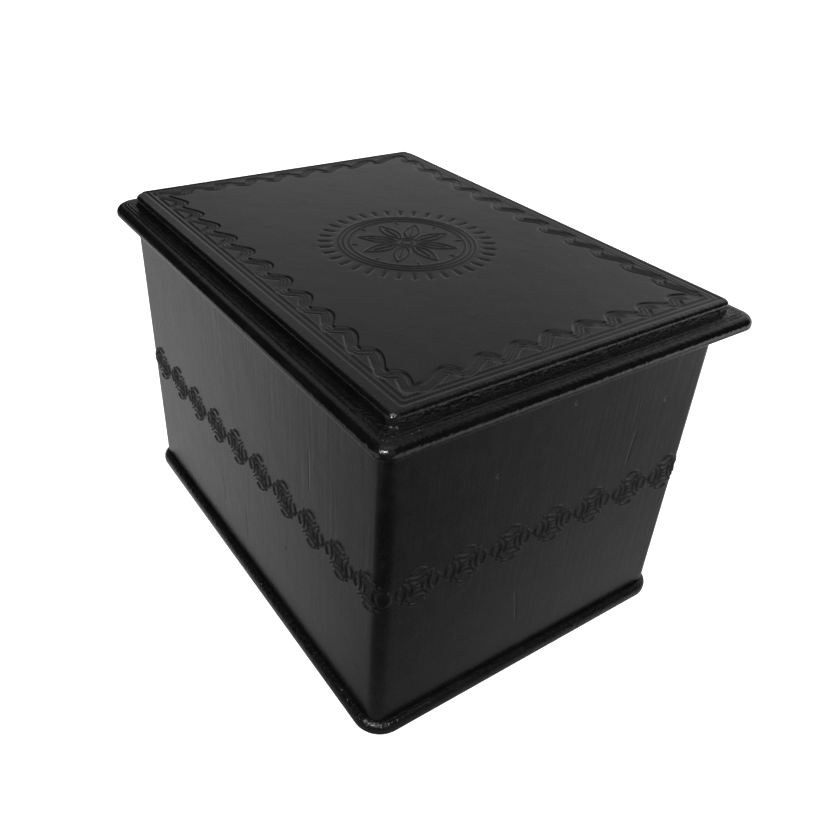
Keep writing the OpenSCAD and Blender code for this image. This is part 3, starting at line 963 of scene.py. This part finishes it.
def lining_panel(side, axis, inward, finish):
    """A suede-covered card with soft edges, in the space of its CAD node."""
    low, high = node_box(side + "_lining")
    a, b = (i for i in range(3) if i != axis)
    length, width = high[a] - low[a], high[b] - low[b]
    middle = ((low[a] + high[a]) / 2, (low[b] + high[b]) / 2)
    base = low[axis] if inward > 0 else high[axis]
    thick = high[axis] - low[axis]
    r = min(0.7, thick * 0.55)
    section = [(-1.0, 0.0), (-0.1, 0.0), (0.0, 0.1)]
    section += arc((-r, thick * 0.9 - r), r, 0, 90, 5)
    section += [(-2.0, thick * 0.93), (-5.0, thick * 0.97), (-12.0, thick * 0.99), (-24.0, thick)]
    card = grower(length, width, 1.2, middle, (48, 32, 5), 0.0)
    rows = []
    for flat in card(section):
        row = np.zeros(flat.shape)
        row[:, a], row[:, b], row[:, axis] = flat[:, 0], flat[:, 1], base + inward * flat[:, 2]
        rows.append(row)
    skin = loft(rows, cap_start=True, cap_end=True, flip=(inward < 0) != (axis == 1))
    panel = make_piece(side + "_suede", *skin, finish)
    settle(panel, "lid" if side == "lid" else "box", "lining", side + "_lining")


class BOX_OT_linings(bpy.types.Operator):
    """Lines the inside with suede-covered cards"""
    bl_idname = "leather_box.linings"
    bl_label = "Suede Linings"

    def execute(self, context):
        finish = suede_finish("suede")
        for side, axis, inward in (("front", 1, 1), ("back", 1, -1), ("left", 0, 1), ("right", 0, -1),
                                   ("floor", 2, 1), ("lid", 2, -1)):
            lining_panel(side, axis, inward, finish)
        return {"FINISHED"}


class BOX_OT_felt(bpy.types.Operator):
    """Sets the felt pad under the plinth"""
    bl_idname = "leather_box.felt"
    bl_label = "Felt Pad"

    def execute(self, context):
        low, high = FELT_LOW, FELT_HIGH
        section = [(-1.5, high[2]), (0.0, high[2]), (0.0, low[2] + 0.35)]
        section += arc((-0.35, low[2] + 0.35), 0.35, 0, -90, 4)[1:]
        section += [(-4.0, low[2]), (-20.0, low[2])]
        pad = grower(high[0] - low[0], high[1] - low[1], 1.5, (0, BODY_Y), (120, 80, 6), 0.0)
        rows = pad(section)
        i = np.arange(len(rows[0]))
        uneven = 0.06 * np.sin(i * 0.37) * np.sin(i * 0.11)
        for row, (d, z) in zip(rows, section):
            if d > -1 and z < high[2]:
                row[:, 0] -= uneven * np.sign(row[:, 0])
        skin = loft(rows, cap_start=True, cap_end=True, flip=True)
        piece = make_piece("felt_pad", *skin, felt_finish("felt"))
        settle(piece, "box", "felt", "base_felt")
        return {"FINISHED"}


class BOX_OT_boards(bpy.types.Operator):
    """Gives the wooden boards and the steel pins their finishes"""
    bl_idname = "leather_box.boards"
    bl_label = "Boards and Pins"

    def execute(self, context):
        wood, steel = board_finish("planed board"), steel_finish("drawn steel")
        for name in ("front_board", "back_board", "left_board", "right_board", "plinth_board",
                     "lid_board", "lid_panel_board", "corner_pins", "base_pins"):
            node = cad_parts[name]
            material = steel if name.endswith("pins") else wood
            if not node.material_slots:
                node.data.materials.append(material)
            for slot in node.material_slots:
                slot.material = material
        return {"FINISHED"}


class BOX_OT_stage(bpy.types.Operator):
    """Sets the floor, the lamps, the world and the camera"""
    bl_idname = "leather_box.stage"
    bl_label = "Stage"

    def execute(self, context):
        scene = context.scene
        self.floor()
        self.world(scene)
        # Place in metres, width, power, and whether the leather mirrors the lamp
        self.lamp("key_lamp", (-0.55, 0.75, 0.95), 0.7, 9.0, False)
        self.lamp("fill_lamp", (0.9, 0.5, 0.7), 0.8, 4.0, False)
        self.lamp("near_lamp", (0.47, -0.63, 0.74), 0.20, 7.0, True)
        # The camera is matched to the photo by the box's edges
        camera = bpy.data.cameras.new("camera")
        camera.sensor_width = 36
        camera.lens = 35.144
        camera.shift_x = 0.0349
        camera.shift_y = 0.0045
        camera.clip_start = 0.01
        camera.clip_end = 20
        holder = put("camera", camera)
        holder.location = (0.24902, -0.17902, 0.26328)
        holder.rotation_euler = (0.9721, -0.042, 0.9785)
        scene.camera = holder
        scene.view_settings.view_transform = "Standard"
        return {"FINISHED"}

    def floor(self):
        """White to the camera and grey to the light; the leather mirrors soft areas of light on it."""
        size = 3000.0
        points = [(-size, -size, 0), (size, -size, 0), (size, size, 0), (-size, size, 0)]
        f = Finish("pale floor")
        camera, glossy, through = f.rays("Camera", "Glossy", "Transmission")
        x, y, z = f.split(f.place())
        near = 1 - ((x - 150) * 0.60 - y * 0.80).step(-120, 130)
        pool = near * (1 - x.step(40, 110) * 0.38) * (1 - x.step(105, 265)) * x.step(-600, -470) * 0.56
        aside = x.step(130, 230) * y.step(-150, 350) * 0.27
        ahead = (-1 * y).step(225, 320) * x.step(-260, -130) * (1 - x.step(80, 220))
        rightward = x.step(270, 350) * y.step(-220, -80)
        beyond = ahead.most(rightward) * 0.65
        behind = (y - x * 0.6).step(60, 260) * 0.30
        shown = camera * 0.90 + glossy * (pool + aside + beyond + behind + 0.012) + through * 0.6
        grey = f.node("ShaderNodeBsdfDiffuse", None, {"Color": (0.82, 0.82, 0.82, 1)}).outputs[0]
        black = f.node("ShaderNodeBsdfDiffuse", None, {"Color": (0, 0, 0, 1)}).outputs[0]
        matt = f.node("ShaderNodeMixShader", None, {0: glossy, 1: grey, 2: black}).outputs[0]
        glow = f.node("ShaderNodeEmission", None, {"Color": (1, 1, 1, 1), "Strength": shown}).outputs[0]
        finish = f.close(f.node("ShaderNodeAddShader", None, {0: matt, 1: glow}))
        floor = make_piece("floor", points, [[0, 1, 2, 3]], finish, smooth=False)

    def world(self, scene):
        """White to the camera; the leather mirrors a window at the back left and dimmer sky elsewhere."""
        scene.world = scene.world or bpy.data.worlds.new("studio")
        f = Finish("studio", scene.world)
        x, y, z = f.split(f.out("ShaderNodeTexCoord", "Generated"))
        camera, glossy = f.rays("Camera", "Glossy")
        level = (x * x + y * y + 0.0001) ** 0.5
        left, back = -1 * x / level, y / level
        window = (1 - z.step(0.60, 0.90)) * (back + z.step(0.38, 0.60) * 0.25).step(0.12, 0.44)
        window = window * left.step(-0.30, 0.12)
        bright = 0.26 + (1 - z.step(0.27, 0.35)) * 0.14 + back.step(0.70, 0.85) * 0.12
        above = z.step(0.84, 0.95) * 0.6
        ahead = (x / level - y / level).step(0.64, 1.06) * z.step(0.05, 0.20)
        ahead = ahead * (1 - z.step(0.80, 0.90)) * 0.28
        seen = window * bright + above + ahead + 0.008
        soft = 0.22 + (1 - z.step(-0.2, 0.9)) * 0.30
        strength = camera + (1 - camera) * (glossy * seen + (1 - glossy) * soft)
        f.close(f.node("ShaderNodeBackground", None, {"Color": (1, 1, 1, 1), "Strength": strength}))

    def lamp(self, name, place, size, power, mirrored):
        light = bpy.data.lights.new(name, "AREA")
        light.shape = "DISK"
        light.size = size
        light.energy = power
        holder = put(name, light)
        holder.location = place
        holder.visible_glossy = mirrored
        aim = Vector((0, 0, 0.08)) - Vector(place)
        holder.rotation_euler = aim.to_track_quat("-Z", "Y").to_euler()


class BOX_PT_panel(bpy.types.Panel):
    """Lists the pieces of the stationery box"""
    bl_label = "Leather Box"
    bl_idname = "BOX_PT_panel"
    bl_space_type = "VIEW_3D"
    bl_region_type = "UI"
    bl_category = "Leather Box"

    def draw(self, context):
        layout = self.layout
        for operator in OPERATORS:
            layout.operator(operator.bl_idname)
        for group in (context.scene.box_sizes, context.scene.box_finishes):
            box = layout.box()
            for key in group.__annotations__:
                box.prop(group, key)


OPERATORS = (
    BOX_OT_walls, BOX_OT_plinth, BOX_OT_lid, BOX_OT_border, BOX_OT_medallion, BOX_OT_hinge,
    BOX_OT_linings, BOX_OT_felt, BOX_OT_boards, BOX_OT_stage)
CLASSES = (BoxSizes, BoxFinishes, *OPERATORS, BOX_PT_panel)


def register():
    for cls in CLASSES:
        bpy.utils.register_class(cls)
    bpy.types.Scene.box_sizes = PointerProperty(type=BoxSizes)
    bpy.types.Scene.box_finishes = PointerProperty(type=BoxFinishes)


def unregister():
    del bpy.types.Scene.box_finishes
    del bpy.types.Scene.box_sizes
    for cls in reversed(CLASSES):
        bpy.utils.unregister_class(cls)


def main():
    register()
    bpy.ops.leather_box.walls()
    bpy.ops.leather_box.plinth()
    bpy.ops.leather_box.lid()
    bpy.ops.leather_box.border()
    bpy.ops.leather_box.medallion()
    bpy.ops.leather_box.hinge()
    bpy.ops.leather_box.linings()
    bpy.ops.leather_box.felt()
    bpy.ops.leather_box.boards()
    bpy.ops.leather_box.stage()


if __name__ == "__main__":
    main()
